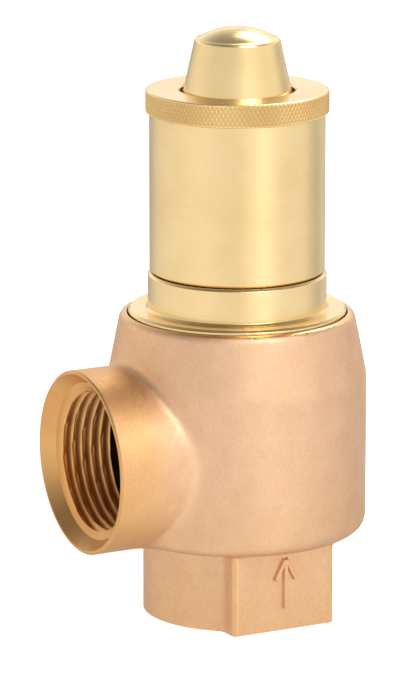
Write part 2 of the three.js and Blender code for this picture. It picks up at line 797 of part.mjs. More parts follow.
const castBronze = new THREE.MeshStandardMaterial({ color: 0xd9a878, roughness: 0.55, metalness: 0.9 });
const turnedBrass = new THREE.MeshStandardMaterial({ color: 0xe6c67a, roughness: 0.22, metalness: 1.0 });
const stainless = new THREE.MeshStandardMaterial({ color: 0xb9bcc0, roughness: 0.3, metalness: 1.0 });
const springSteel = new THREE.MeshStandardMaterial({ color: 0x8d9196, roughness: 0.35, metalness: 1.0 });
const blackRubber = new THREE.MeshStandardMaterial({ color: 0x1b1b1d, roughness: 0.8, metalness: 0.0 });
const whitePlastic = new THREE.MeshStandardMaterial({ color: 0xe9e6df, roughness: 0.5, metalness: 0.0 });
const fibre = new THREE.MeshStandardMaterial({ color: 0x5f6f5c, roughness: 0.9, metalness: 0.0 });

// ---- Assembly ----

// One named mesh for each piece, gathered in one group for each set that moves together.
function piece(name, solid, material) {
  const mesh = new THREE.Mesh(toGeometry(solid), material);
  mesh.name = name;
  return mesh;
}

function set(...meshes) {
  const group = new THREE.Group();
  group.add(...meshes);
  return group;
}

const fixedSet = set(
  piece('valve_body', valveBody(), castBronze),
  piece('seat_ring', seatRing(), stainless),
  piece('seat_o_ring', seatORing(), blackRubber),
  piece('bonnet', bonnet(), turnedBrass),
  piece('bonnet_gasket', bonnetGasket(), fibre),
  piece('guide_bush', guideBush(), whitePlastic),
  piece('spindle_seal', spindleSeal(), blackRubber),
  piece('cap_o_ring', capORing(), blackRubber),
  piece('turn_stop_pin', turnStopPin(), stainless),
  piece('pressure_spring', pressureSpring(), springSteel),
);

const spindleSet = set(
  piece('spindle', spindle(), stainless),
  piece('disc_holder', discHolder(), turnedBrass),
  piece('disc_pin', discPin(), stainless),
  piece('seal_disc', sealDisc(), blackRubber),
  piece('seal_retainer', sealRetainer(), stainless),
  piece('disc_screw', discScrew(), stainless),
  piece('lower_spring_plate', lowerSpringPlate(), turnedBrass),
  piece('knob_jam_nut', knobJamNut(), stainless),
  piece('lifting_knob', liftingKnob(), turnedBrass),
);

const capSet = set(
  piece('lifting_cap', liftingCap(), turnedBrass),
  piece('thrust_washer', thrustWasher(), whitePlastic),
);

const adjusterSet = set(
  piece('upper_spring_plate', upperSpringPlate(), turnedBrass),
  piece('adjusting_screw', adjustingScrew(), turnedBrass),
  piece('lock_nut', lockNut(), turnedBrass),
);

const group = set(fixedSet, spindleSet, capSet, adjusterSet);
group.name = 'pressure_relief_valve';
group.position.x = (OUTLET_LENGTH - BODY_R) / 2;

export default group;
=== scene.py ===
"""Pressure relief valve: fine meshes, finishes, light and camera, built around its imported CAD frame.

Turned pieces are read back from their CAD nodes as profiles, rounded at the corners and turned again finely.
The cast body is a smooth blend of body, inlet boss, spanner lugs and outlet branch, then bored and threaded.
Lengths are metres. Names that end in _MM hold millimetres.
"""
import json
import math

import bpy
import numpy as np
from mathutils import Matrix, Vector

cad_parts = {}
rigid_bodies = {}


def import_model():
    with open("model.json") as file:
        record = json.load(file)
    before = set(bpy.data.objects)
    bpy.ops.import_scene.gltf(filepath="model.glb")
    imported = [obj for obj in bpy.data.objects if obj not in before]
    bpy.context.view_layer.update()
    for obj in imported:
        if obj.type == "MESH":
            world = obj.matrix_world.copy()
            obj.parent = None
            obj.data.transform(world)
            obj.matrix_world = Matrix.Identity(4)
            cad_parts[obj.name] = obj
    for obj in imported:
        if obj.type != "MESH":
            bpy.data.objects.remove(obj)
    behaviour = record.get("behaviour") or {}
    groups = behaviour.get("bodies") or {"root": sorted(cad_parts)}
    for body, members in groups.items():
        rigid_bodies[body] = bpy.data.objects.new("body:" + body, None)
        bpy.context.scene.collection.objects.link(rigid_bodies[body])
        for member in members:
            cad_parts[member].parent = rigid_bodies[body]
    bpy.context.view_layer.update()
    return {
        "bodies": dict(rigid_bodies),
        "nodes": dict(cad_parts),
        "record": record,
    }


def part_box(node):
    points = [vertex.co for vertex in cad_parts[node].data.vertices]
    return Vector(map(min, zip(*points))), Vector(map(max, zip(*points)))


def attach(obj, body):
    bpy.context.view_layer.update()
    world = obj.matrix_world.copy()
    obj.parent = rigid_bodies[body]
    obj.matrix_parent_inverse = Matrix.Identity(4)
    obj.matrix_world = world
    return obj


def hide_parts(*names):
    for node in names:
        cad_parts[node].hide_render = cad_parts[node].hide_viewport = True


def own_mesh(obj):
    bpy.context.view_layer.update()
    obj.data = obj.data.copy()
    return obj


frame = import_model()

MM = 0.001
NODES = frame["nodes"]
BODY_OF = {node: body for body, nodes in frame["record"]["behaviour"]["bodies"].items() for node in nodes}

# ---- Places read from the frame ----

UP = Vector((0, 0, 1))
EAST = Vector((1, 0, 0))
FRONT = Vector((0, -1, 0))


def centre(node):
    low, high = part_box(node)
    return (low + high) / 2


def place(origin, along, out):
    """Matrix whose +Z is a turning axis and whose +X is the way its CAD node is cut for a profile."""
    return Matrix.Translation(origin) @ Matrix((out, along.cross(out), along)).transposed().to_4x4()


AXIS = Vector((centre("bonnet").x, 0, 0))
OUTLET_FACE_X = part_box("valve_body")[0].x
FACE_HEIGHTS = [v.co.z for v in NODES["valve_body"].data.vertices if v.co.x < OUTLET_FACE_X + 1e-6]
OUTLET_Z = (min(FACE_HEIGHTS) + max(FACE_HEIGHTS)) / 2
MOUNTS = {mount["name"]: Vector(mount["pos_m"]) for mount in frame["record"]["mounts"]}

SPINDLE_EAST = place(AXIS, UP, EAST)
SPINDLE_FRONT = place(AXIS, UP, FRONT)
OUTLET_INWARD = place(Vector((OUTLET_FACE_X, 0, OUTLET_Z)), EAST, FRONT)

# ---- Profiles ----

JOIN = 2e-6
STRAIGHT = 0.01
CUT_TURN = 1e-4
EDGE_R = 0.22 * MM
ROUND_SEGMENTS = 160


def crossing(triangle):
    """The two (radius, height) points where a triangle crosses the plane y = 0, cut off at the axis."""
    ends = []
    for a, b in ((0, 1), (1, 2), (2, 0)):
        side_a, side_b = triangle[a][1], triangle[b][1]
        if (side_a > 0) != (side_b > 0):
            hit = triangle[a] + (triangle[b] - triangle[a]) * side_a / (side_a - side_b)
            ends.append(hit[[0, 2]])
    inner, outer = sorted(ends, key=lambda end: end[0])
    if outer[0] < JOIN:
        return None
    if inner[0] < 0:
        inner = inner + (outer - inner) * inner[0] / (inner[0] - outer[0])
    return tuple(inner), tuple(outer)


def joined(segments):
    """The longest run of points that segments make end to end."""

    def length(run):
        return sum(map(math.dist, run, run[1:]))

    best = []
    while segments:
        run = list(segments.pop())
        for _ in ("forwards", "backwards"):
            grown = True
            while grown:
                grown = False
                for i, (a, b) in enumerate(segments):
                    if math.dist(run[-1], a) < JOIN or math.dist(run[-1], b) < JOIN:
                        run.append(b if math.dist(run[-1], a) < JOIN else a)
                        segments.pop(i)
                        grown = True
                        break
            run.reverse()
        best = max(best, run, key=length)
    return best


def turn_at(before, point, after):
    """Signed turn of an outline at a point, in radians; positive turns left."""
    into = (point[0] - before[0], point[1] - before[1])
    out = (after[0] - point[0], after[1] - point[1])
    return math.atan2(into[0] * out[1] - into[1] * out[0], into[0] * out[0] + into[1] * out[1])


def around(run, closed):
    """Each point of a run with its two neighbours; an open run's ends have none and are left out."""
    count = len(run)
    for i in range(0 if closed else 1, count if closed else count - 1):
        yield run[i - 1], run[i], run[(i + 1) % count]


def section(node, where):
    """(run, closed): a CAD node's outline as (radius, height) points, anticlockwise, at its corners only."""
    mesh = NODES[node].data
    mesh.calc_loop_triangles()
    points = np.empty(len(mesh.vertices) * 3)
    mesh.vertices.foreach_get("co", points)
    off_the_facet_edges = Matrix.Rotation(CUT_TURN, 4, "Z")
    inverse = np.array((where @ off_the_facet_edges).inverted())
    points = points.reshape(-1, 3) @ inverse[:3, :3].T + inverse[:3, 3]
    corners = np.empty(len(mesh.loop_triangles) * 3, np.int32)
    mesh.loop_triangles.foreach_get("vertices", corners)
    triangles = points[corners.reshape(-1, 3)]
    sides = triangles[:, :, 1] > 0
    crossed = triangles[sides.any(1) & ~sides.all(1)]
    segments = [ends for ends in map(crossing, crossed) if ends and math.dist(*ends) > JOIN / 4]
    run = joined(segments)
    closed = math.dist(run[0], run[-1]) < JOIN
    if closed:
        run.pop()
    if sum(a[0] * b[1] - a[1] * b[0] for a, b in zip(run, run[1:] + run[:1])) < 0:
        run.reverse()
    kept = [spot[1] for spot in around(run, closed) if abs(turn_at(*spot)) > STRAIGHT]
    return (kept, True) if closed else ([run[0], *kept, run[-1]], False)


def rounded(run, closed, radius=EDGE_R, hollow_radius=None):
    """A run with its corners rounded. Gentle turns are the steps of a curve, and become a smooth one."""
    gentle = math.radians(34)
    longest_reach = 1.0 * MM
    made = [] if closed else [run[0]]
    for before, point, after in around(run, closed):
        turn = turn_at(before, point, after)
        if abs(turn) < STRAIGHT:
            continue
        room = min(math.dist(before, point), math.dist(point, after))
        if abs(turn) < gentle:
            reach = min(0.499 * room, longest_reach)
            step = math.radians(3)
        else:
            wanted = radius if turn > 0 or hollow_radius is None else hollow_radius
            reach = min(wanted * math.tan(abs(turn) / 2), 0.42 * room)
            step = math.radians(15)
        heading = math.atan2(point[1] - before[1], point[0] - before[0])
        arc_radius = reach / math.tan(abs(turn) / 2)
        start = (point[0] - reach * math.cos(heading), point[1] - reach * math.sin(heading))
        to_left = math.copysign(math.pi / 2, turn)
        inward = heading + to_left
        middle = (start[0] + arc_radius * math.cos(inward), start[1] + arc_radius * math.sin(inward))
        steps = max(1, math.ceil(abs(turn) / step))
        for i in range(steps + 1):
            angle = heading - to_left + turn * i / steps
            made.append((middle[0] + arc_radius * math.cos(angle), middle[1] + arc_radius * math.sin(angle)))
    return made if closed else [*made, run[-1]]


# ---- Meshes ----


def new_object(name, mesh):
    piece = bpy.data.objects.new(name, mesh)
    bpy.context.scene.collection.objects.link(piece)
    return piece


def rows_round(name, radii, heights, where, closed):
    """Mesh of rows of points round an axis. radii is (rows, segments), and a row of radius 0 is one point."""
    rows, segments = radii.shape
    angles = np.arange(segments) * 2 * math.pi / segments
    is_pole = radii.max(1) < JOIN
    first = np.concatenate([[0], np.cumsum(np.where(is_pole, 1, segments))])
    points = []
    for row in range(rows):
        used = angles[:1] if is_pole[row] else angles
        reach = radii[row][: len(used)]
        level = np.full(len(used), heights[row])
        points.append(np.stack([reach * np.cos(used), reach * np.sin(used), level], 1))
    turned = np.array(where)
    points = np.concatenate(points) @ turned[:3, :3].T + turned[:3, 3]
    faces = []
    index = np.arange(segments)
    following = (index + 1) % segments
    for row in range(rows if closed else rows - 1):
        above = (row + 1) % rows
        if is_pole[row] and is_pole[above]:
            continue
        here, here_next = first[row] + index, first[row] + following
        over, over_next = first[above] + index, first[above] + following
        if is_pole[row]:
            block = [np.full(segments, first[row]), over_next, over]
        elif is_pole[above]:
            block = [here, here_next, np.full(segments, first[above])]
        else:
            block = [here, here_next, over_next, over]
        faces.extend(np.stack(block, 1).tolist())
    mesh = bpy.data.meshes.new(name)
    mesh.from_pydata(points.tolist(), [], faces)
    return new_object(name, mesh)


def turned(name, run, closed, where, segments=ROUND_SEGMENTS):
    radii = np.repeat(np.array([point[0] for point in run])[:, None], segments, 1)
    return rows_round(name, radii, [point[1] for point in run], where, closed)


def combine(piece, tool, operation):
    """Joins a tool's mesh to a piece's or cuts it away, and removes the tool."""
    modifier = piece.modifiers.new(operation, "BOOLEAN")
    modifier.operation = operation
    modifier.solver = "MANIFOLD"
    modifier.object = tool
    evaluated = piece.evaluated_get(bpy.context.evaluated_depsgraph_get())
    mesh = bpy.data.meshes.new_from_object(evaluated)
    piece.modifiers.clear()
    piece.data = mesh
    bpy.data.objects.remove(tool)
    if len(mesh.polygons) == 0:
        raise ValueError(f"{piece.name}: the {operation} left nothing")
    return piece


def rod(radius, bottom, top, where, segments=48):
    """A round tool with plain ends."""
    return turned("rod", [(0, bottom), (radius, bottom), (radius, top), (0, top)], False, where, segments)


def prism(name, outline, bottom, top):
    """A straight-sided tool over an anticlockwise outline of (x, y) points."""
    count = len(outline)
    points = [(x, y, bottom) for x, y in outline] + [(x, y, top) for x, y in outline]
    faces = [list(range(count))[::-1], list(range(count, 2 * count))]
    faces += [[i, (i + 1) % count, (i + 1) % count + count, i + count] for i in range(count)]
    mesh = bpy.data.meshes.new(name)
    mesh.from_pydata(points, [], faces)
    return new_object(name, mesh)


def hexagon(radius):
    corners = [math.radians(60 * i) for i in range(6)]
    return [(AXIS.x + radius * math.cos(a), radius * math.sin(a)) for a in corners]


def stands_for(piece, node, material, sharp_deg=35):
    """A finished piece takes its CAD node's place, body, slot and finish."""
    piece.name = node + "_fine"
    if material is not None:
        piece.data.materials.clear()
        piece.data.materials.append(material)
    piece.data.shade_smooth()
    piece.data.set_sharp_from_angle(angle=math.radians(sharp_deg))
    weighted = piece.modifiers.new("Weighted normals", "WEIGHTED_NORMAL")
    weighted.keep_sharp = True
    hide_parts(node)
    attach(piece, BODY_OF[node])
    return piece


# ---- Finishes ----


def new_material(name):
    material = bpy.data.materials.new(name)
    material.use_nodes = True
    return material, material.node_tree, material.node_tree.nodes["Principled BSDF"]


def add(tree, kind, inputs=None, **settings):
    """A shader node with its settings, and its inputs set or linked."""
    node = tree.nodes.new("ShaderNode" + kind)
    for key, value in settings.items():
        setattr(node, key, value)
    for key, value in (inputs or {}).items():
        if isinstance(value, bpy.types.NodeSocket):
            tree.links.new(value, node.inputs[key])
        else:
            node.inputs[key].default_value = value
    return node


def calculate(tree, operation, a, b=0.0):
    return add(tree, "Math", {0: a, 1: b}, operation=operation).outputs[0]


def noise(tree, where, per_metre, detail=3.0, roughness=0.55):
    inputs = {"Vector": where, "Scale": per_metre, "Detail": detail, "Roughness": roughness}
    return add(tree, "TexNoise", inputs).outputs["Fac"]


def ramp(tree, factor, *stops):
    """Colours or greys at places along a factor."""
    node = add(tree, "ValToRGB", {"Fac": factor})
    elements = node.color_ramp.elements
    while len(elements) < len(stops):
        elements.new(0.5)
    for element, (position, value) in zip(elements, stops):
        element.position = position
        element.color = (*value, 1) if isinstance(value, tuple) else (value, value, value, 1)
    return node.outputs["Color"]


def mixed(tree, factor, a, b, blend="MIX"):
    node = add(tree, "Mix", data_type="RGBA", blend_type=blend)
    for socket, value in ((node.inputs["Factor"], factor), (node.inputs[6], a), (node.inputs[7], b)):
        if isinstance(value, bpy.types.NodeSocket):
            tree.links.new(value, socket)
        else:
            socket.default_value = (*value, 1) if isinstance(value, tuple) else value
    return node.outputs[2]


def bump(tree, height, distance, strength=1.0, under=None):
    inputs = {"Height": height, "Distance": distance, "Strength": strength}
    if under is not None:
        inputs["Normal"] = under
    return add(tree, "Bump", inputs).outputs["Normal"]


def object_space(tree):
    return add(tree, "TexCoord").outputs["Object"]


def ring_space(tree, axis):
    """Coordinates that are the same all round an axis, so that a noise on them draws turning marks."""
    origin = AXIS if axis == "Z" else Vector((0, 0, OUTLET_Z))
    shifted = add(tree, "VectorMath", {0: object_space(tree), 1: -origin}, operation="ADD").outputs[0]
    flat = (1, 1, 0) if axis == "Z" else (0, 1, 1)
    across = add(tree, "VectorMath", {0: shifted, 1: flat}, operation="MULTIPLY").outputs[0]
    radius = add(tree, "VectorMath", {0: across}, operation="LENGTH").outputs["Value"]
    along = add(tree, "SeparateXYZ", {0: shifted}).outputs[axis]
    return add(tree, "CombineXYZ", {"X": radius, "Z": along}).outputs[0]


def cast_bronze():
    """Blasted casting: fine grain, faint mottling, shallow pits, and painted shade, a deeper gold, towards
    both ports: darker towards the bottom and along the outlet branch.
    """
    material, tree, surface = new_material("cast bronze")
    where = object_space(tree)
    mottle = noise(tree, where, 210, 5)
    grain = noise(tree, where, 2400, 5, 0.65)
    speck = noise(tree, where, 900, 3)
    dark, middle, light = (0.875, 0.555, 0.335), (0.90, 0.58, 0.36), (0.925, 0.605, 0.385)
    tone = ramp(tree, mottle, (0.3, dark), (0.5, middle), (0.7, light))
    parts = add(tree, "SeparateXYZ", {0: where}).outputs
    # Painted shade: the tone darkens and deepens towards the bottom, near the inlet.
    up = calculate(tree, "DIVIDE", parts["Z"], OUTLET_Z)
    shade_to_inlet = ramp(tree, up, (0.0, (0.92, 0.86, 0.73)), (1.0, 1.0))
    # Painted shade: the tone darkens and deepens along the outlet branch towards its face.
    along = calculate(tree, "DIVIDE", parts["X"], OUTLET_FACE_X)
    shade_to_outlet = ramp(tree, along, (0.54, 1.0), (0.80, (1.0, 0.92, 0.70)), (1.0, (0.98, 0.89, 0.66)))
    tone = mixed(tree, 1.0, mixed(tree, 1.0, tone, shade_to_inlet, "MULTIPLY"), shade_to_outlet, "MULTIPLY")
    fleck = ramp(tree, grain, (0.35, 0.90), (0.62, 1.0))
    tree.links.new(mixed(tree, 1.0, tone, fleck, "MULTIPLY"), surface.inputs["Base Color"])
    surface.inputs["Metallic"].default_value = 1.0
    tree.links.new(ramp(tree, speck, (0.3, 0.46), (0.7, 0.56)), surface.inputs["Roughness"])
    lumps = bump(tree, noise(tree, where, 420, 2), 0.035 * MM)
    tree.links.new(bump(tree, grain, 0.04 * MM, 1.0, lumps), surface.inputs["Normal"])
    return material


def turned_metal(name, colours, roughness, axis="Z", marks_mm=0.05, smudge=0.06):
    """Lathe-turned metal: rings of tool marks, a little uneven polish, and faint handling smudges."""
    material, tree, surface = new_material(name)
    rings = ring_space(tree, axis)
    fine_rings = noise(tree, rings, 1.0 / (marks_mm * MM * 2), 2, 0.6)
    broad_rings = noise(tree, rings, 900, 2)
    patches = noise(tree, object_space(tree), 90, 3)
    tone = ramp(tree, patches, (0.35, colours[0]), (0.65, colours[1]))
    line = ramp(tree, fine_rings, (0.3, 0.96), (0.6, 1.0))
    tree.links.new(mixed(tree, 1.0, tone, line, "MULTIPLY"), surface.inputs["Base Color"])
    surface.inputs["Metallic"].default_value = 1.0
    uneven = calculate(tree, "MULTIPLY", broad_rings, 0.06)
    smudged = calculate(tree, "MULTIPLY", ramp(tree, patches, (0.5, 0.0), (0.75, 1.0)), smudge)
    total = calculate(tree, "ADD", calculate(tree, "ADD", uneven, smudged), roughness)
    tree.links.new(total, surface.inputs["Roughness"])
    tree.links.new(bump(tree, fine_rings, 0.0035 * MM), surface.inputs["Normal"])
    surface.inputs["Anisotropic"].default_value = 0.35
    return material


def plain_material(name, colours, roughness, grain_per_metre, grain_depth, metallic=0.0):
    """Moulded or drawn material with a tone that wanders between two colours and a fine surface grain."""
    material, tree, surface = new_material(name)
    where = object_space(tree)
    tone = ramp(tree, noise(tree, where, 250, 4), (0.35, colours[0]), (0.65, colours[1]))
    grain = noise(tree, where, grain_per_metre, 4, 0.6)
    tree.links.new(tone, surface.inputs["Base Color"])
    surface.inputs["Metallic"].default_value = metallic
    uneven = ramp(tree, grain, (0.3, roughness - 0.06), (0.7, roughness + 0.06))
    tree.links.new(uneven, surface.inputs["Roughness"])
    tree.links.new(bump(tree, grain, grain_depth), surface.inputs["Normal"])
    return material


MACHINED_TONES = ((0.80, 0.47, 0.22), (0.90, 0.56, 0.28))
# Painted shade: the outlet bore's machined bronze, darker and more orange than the top bore's.
OUTLET_SHADE_TONES = ((0.74, 0.385, 0.13), (0.82, 0.455, 0.17))
# Painted shade: near-black bronze standing in for the shadow deep in the cavity past the threads.
UNLIT_TONES = ((0.10, 0.055, 0.035), (0.16, 0.09, 0.055))
BRASS_TONES = ((0.90, 0.655, 0.315), (0.95, 0.71, 0.365))
# Painted shade: darker, more orange brass standing in for the shade in the knurl's grooves.
KNURL_SHADE_TONES = ((0.74, 0.48, 0.19), (0.80, 0.54, 0.23))
STAINLESS_TONES = ((0.56, 0.56, 0.57), (0.64, 0.64, 0.65))
SPRING_TONES = ((0.26, 0.27, 0.29), (0.36, 0.37, 0.39))
RUBBER_TONES = ((0.012, 0.012, 0.013), (0.03, 0.03, 0.032))
PLASTIC_TONES = ((0.72, 0.70, 0.66), (0.80, 0.785, 0.745))
GASKET_TONES = ((0.07, 0.10, 0.075), (0.14, 0.175, 0.13))

CAST_BRONZE = cast_bronze()
BORED_BRONZE = turned_metal("bored bronze", MACHINED_TONES, 0.26, "Z", 0.12)
# The outlet bore's finish carries painted shade and painted inner reflections.
OUTLET_SHADED_BRONZE = turned_metal("outlet bronze painted shade", OUTLET_SHADE_TONES, 0.32, "X", 0.12)
# Painted shade for the unlit cavity.
CAVITY_PAINTED_SHADE = plain_material("unlit cast bronze", UNLIT_TONES, 0.75, 900, 0.06 * MM, 1.0)
TURNED_BRASS = turned_metal("turned brass", BRASS_TONES, 0.21)
KNURLED_BRASS_SHADED = turned_metal("knurled brass painted shade", KNURL_SHADE_TONES, 0.34)
STAINLESS = turned_metal("stainless steel", STAINLESS_TONES, 0.22)
SPRING_STEEL = plain_material("spring steel", SPRING_TONES, 0.34, 2500, 0.006 * MM, 1.0)
BLACK_RUBBER = plain_material("black rubber", RUBBER_TONES, 0.62, 3000, 0.01 * MM)
WHITE_PLASTIC = plain_material("white plastic", PLASTIC_TONES, 0.42, 1800, 0.006 * MM)
GASKET_FIBRE = plain_material("gasket fibre", GASKET_TONES, 0.82, 1400, 0.05 * MM)

# ---- Turned pieces ----


def turned_piece(node, where):
    run, closed = section(node, where)
    return turned(node, rounded(run, closed), closed, where)


def bored_across(piece, node):
    """Cuts the disc pin's hole through a piece on the spindle axis."""
    low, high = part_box("disc_pin")
    clearance = 0.05 * MM
    radius = (high.z - low.z) / 2 + clearance
    reach = 15 * MM
    middle = Vector((AXIS.x, 0, (low.z + high.z) / 2))
    return combine(piece, rod(radius, -reach, reach, place(middle, FRONT, UP)), "DIFFERENCE")


def seal_ring(node):
    """O-ring of true round section in the CAD node's box."""
    low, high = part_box(node)
    run, _ = section(node, SPINDLE_EAST)
    inner = min(point[0] for point in run)
    outer = max(point[0] for point in run)
    section_r = (outer - inner) / 2
    steps = 32
    angles = [2 * math.pi * i / steps for i in range(steps)]
    middle_z = (low.z + high.z) / 2
    circle = [(inner + section_r * (1 + math.cos(a)), middle_z + section_r * math.sin(a)) for a in angles]
    return turned(node, circle, True, SPINDLE_EAST)


for node in ("seat_o_ring", "spindle_seal", "cap_o_ring"):
    stands_for(seal_ring(node), node, BLACK_RUBBER)
stands_for(turned_piece("bonnet_gasket", SPINDLE_EAST), "bonnet_gasket", GASKET_FIBRE)
stands_for(turned_piece("seal_disc", SPINDLE_EAST), "seal_disc", BLACK_RUBBER)
for node in ("guide_bush", "thrust_washer"):
    stands_for(turned_piece(node, SPINDLE_EAST), node, WHITE_PLASTIC)
for node in ("seat_ring", "seal_retainer"):
    stands_for(turned_piece(node, SPINDLE_EAST), node, STAINLESS)
for node in ("lower_spring_plate", "upper_spring_plate"):
    stands_for(turned_piece(node, SPINDLE_EAST), node, TURNED_BRASS)


for node, along in (("turn_stop_pin", UP), ("disc_pin", FRONT)):
    stands_for(turned_piece(node, place(centre(node), along, EAST)), node, STAINLESS)
spindle = bored_across(turned_piece("spindle", SPINDLE_EAST), "spindle")
stands_for(spindle, "spindle", STAINLESS)
holder = bored_across(turned_piece("disc_holder", SPINDLE_EAST), "disc_holder")
stands_for(holder, "disc_holder", TURNED_BRASS)

# ---- Cast body ----

GRID_MM = 0.6
SKIN_PAST_FACE_MM = 1.0
BRANCH_BLEND_MM = 1.8
LUG_BLEND_MM = 1.2
LUG_EDGE_MM = 0.9
CAST_EDGE_MM = 0.6
UNEVEN_MM = 0.05
THREAD_PITCH_MM = 2.309
THREAD_DEPTH_MM = 1.479
OUTLET_THREAD_START_MM = 3.2
MACHINED_EDGE_MM = 0.35
LUG_TOP_MM = 20.0
TABLE_STEP_MM = 0.1
TABLE_REACH_MM = 36
TABLE_MARGIN_MM = 3
SKIN_HALF_WIDTH_MM = 31
OUTLET_FINISH_X_MM = -18.2
MACHINED_PAST_SKIN_MM = 0.03


def wall(node, where):
    """The outside and the bore of a section, both going up from its lowest face, as (radius, height) runs."""
    run, _ = section(node, where)
    lowest = min(point[1] for point in run)
    highest = max(point[1] for point in run)
    foot = max((i for i in range(len(run)) if run[i][1] < lowest + JOIN), key=lambda i: run[i][0])
    run = run[foot:] + run[:foot]
    crown = max((i for i in range(len(run)) if run[i][1] > highest - JOIN), key=lambda i: run[i][0])
    return run[: crown + 1], run[:crown:-1]


BODY_OUTSIDE, BODY_BORE = wall("valve_body", SPINDLE_EAST)
THREAD_CREST_R = BODY_BORE[1][0]
BODY_TOP_MM = BODY_OUTSIDE[-1][1] / MM
FLAT_Y_MM = MOUNTS["spanner_flat_back"].y / MM
FLAT_XS = [v.co.x for v in NODES["valve_body"].data.vertices if abs(abs(v.co.y) - FLAT_Y_MM * MM) < JOIN]
LUG_HALF_MM = (max(FLAT_XS) - AXIS.x) / MM


def outlet_wall():
    """Outer radius of the outlet branch, and its bore as a run going in to where it opens into the body."""
    run, _ = section("valve_body", OUTLET_INWARD)
    foot = max((i for i in range(len(run)) if run[i][1] < JOIN), key=lambda i: run[i][0])
    run = run[foot:] + run[:foot]
    bore = []
    for point in reversed(run):
        if point[0] < THREAD_CREST_R - JOIN:
            break
        bore.append(point)
    # The section can lose the corner where the thread starts, so it is put in by its own depth.
    crest = next(i for i, point in enumerate(bore) if abs(point[0] - THREAD_CREST_R) < JOIN)
    bore.insert(crest, (THREAD_CREST_R, OUTLET_THREAD_START_MM * MM))
    return run[1][0], bore


OUTLET_R, OUTLET_BORE = outlet_wall()
THREADS_END = max(depth for r, depth in OUTLET_BORE if r < THREAD_CREST_R + JOIN)
THREADS_END_X_MM = (OUTLET_FACE_X - AXIS.x + THREADS_END) / MM
CAVITY_R = max(r for r, z in BODY_BORE if z < OUTLET_Z + 10 * MM)
CAVITY_FLOOR_MM = min(z for r, z in BODY_BORE if r > CAVITY_R - JOIN) / MM - 0.5
CAVITY_TOP_MM = max(z for r, z in BODY_BORE if abs(r - CAVITY_R) < JOIN) / MM + 0.5


def to_segments(points, run):
    """Signed distance from (n, 2) points to a closed run; negative inside."""
    best = np.full(len(points), np.inf)
    inside = np.zeros(len(points), bool)
    for (ax, ay), (bx, by) in zip(run, run[1:] + run[:1]):
        ex, ey = bx - ax, by - ay
        px, py = points[:, 0] - ax, points[:, 1] - ay
        share = np.clip((px * ex + py * ey) / (ex * ex + ey * ey), 0, 1)
        best = np.minimum(best, (px - share * ex) ** 2 + (py - share * ey) ** 2)
        if ay != by:
            crosses = (ay > points[:, 1]) != (by > points[:, 1])
            inside ^= crosses & (points[:, 0] < ax + (points[:, 1] - ay) * ex / ey)
    return np.where(inside, -1, 1) * np.sqrt(best)


def blended(a, b, width):
    """Union of two signed distances with a fillet."""
    share = np.clip(0.5 + 0.5 * (b - a) / width, 0, 1)
    return b * (1 - share) + a * share - width * share * (1 - share)


def rounded_box(points, half, edge):
    outside = np.abs(points) - (np.array(half) - edge)
    reach = np.sqrt((np.maximum(outside, 0) ** 2).sum(1))
    return reach + np.minimum(outside.max(1), 0) - edge


class Skin:
    """Signed distance to the cast outside of the body, in millimetres from the spindle axis."""

    def __init__(self):
        bottom = -SKIN_PAST_FACE_MM
        top = BODY_TOP_MM + SKIN_PAST_FACE_MM
        upright = [(radius / MM, height / MM) for radius, height in BODY_OUTSIDE[1:-1]]
        foot = [(0, bottom), (upright[0][0], bottom)]
        crown = [(upright[-1][0], top), (0, top)]
        run = [*foot, *upright, *crown]
        self.run = rounded([(r * MM, z * MM) for r, z in run], False, CAST_EDGE_MM * MM, LUG_BLEND_MM * MM)
        self.run = [(r / MM, z / MM) for r, z in self.run]
        self.low = (-1.0, bottom - TABLE_MARGIN_MM)
        rise = top - bottom + 2 * TABLE_MARGIN_MM
        self.shape = (int(TABLE_REACH_MM / TABLE_STEP_MM), int(rise / TABLE_STEP_MM))
        lines = [self.low[i] + TABLE_STEP_MM * np.arange(self.shape[i]) for i in (0, 1)]
        r, z = np.meshgrid(*lines, indexing="ij")
        flat = np.stack([r.ravel(), z.ravel()], 1)
        mirrored = self.run + [(-r, z) for r, z in self.run[-2:0:-1]]
        self.table = to_segments(flat, mirrored).reshape(self.shape)

    def body(self, points):
        """Distance to the turned body, looked up in the table and interpolated."""
        radius = np.hypot(points[:, 0], points[:, 1])
        u = np.clip((radius - self.low[0]) / TABLE_STEP_MM, 0, self.shape[0] - 1.001)
        v = np.clip((points[:, 2] - self.low[1]) / TABLE_STEP_MM, 0, self.shape[1] - 1.001)
        i, j = u.astype(int), v.astype(int)
        u, v = u - i, v - j
        low = self.table[i, j] * (1 - u) + self.table[i + 1, j] * u
        high = self.table[i, j + 1] * (1 - u) + self.table[i + 1, j + 1] * u
        return low * (1 - v) + high * v

    def lugs(self, points):
        middle = np.array([0, 0, (LUG_TOP_MM - SKIN_PAST_FACE_MM - 1) / 2])
        half = (LUG_HALF_MM, FLAT_Y_MM, (LUG_TOP_MM + SKIN_PAST_FACE_MM + 1) / 2)
        return rounded_box(points - middle, half, LUG_EDGE_MM)

    def branch(self, points):
        reach = -(OUTLET_FACE_X - AXIS.x) / MM + SKIN_PAST_FACE_MM
        radius = np.hypot(points[:, 1], points[:, 2] - OUTLET_Z / MM)
        along = np.abs(points[:, 0] + reach / 2) - reach / 2
        return np.maximum(radius - OUTLET_R / MM, along)

    def __call__(self, points):
        whole = blended(self.body(points), self.lugs(points), LUG_BLEND_MM)
        return blended(whole, self.branch(points), BRANCH_BLEND_MM) + UNEVEN_MM * waves(points)


def waves(points):
    """Slow unevenness of a casting, between about -1 and 1."""
    total = np.zeros(len(points))
    for i in range(6):
        direction = np.array([math.cos(2.4 * i + 0.3), math.sin(2.4 * i + 0.3), math.cos(1.7 * i)])
        total += np.sin(points @ direction * (0.22 + 0.05 * i) + 1.9 * i) / 6
    return total


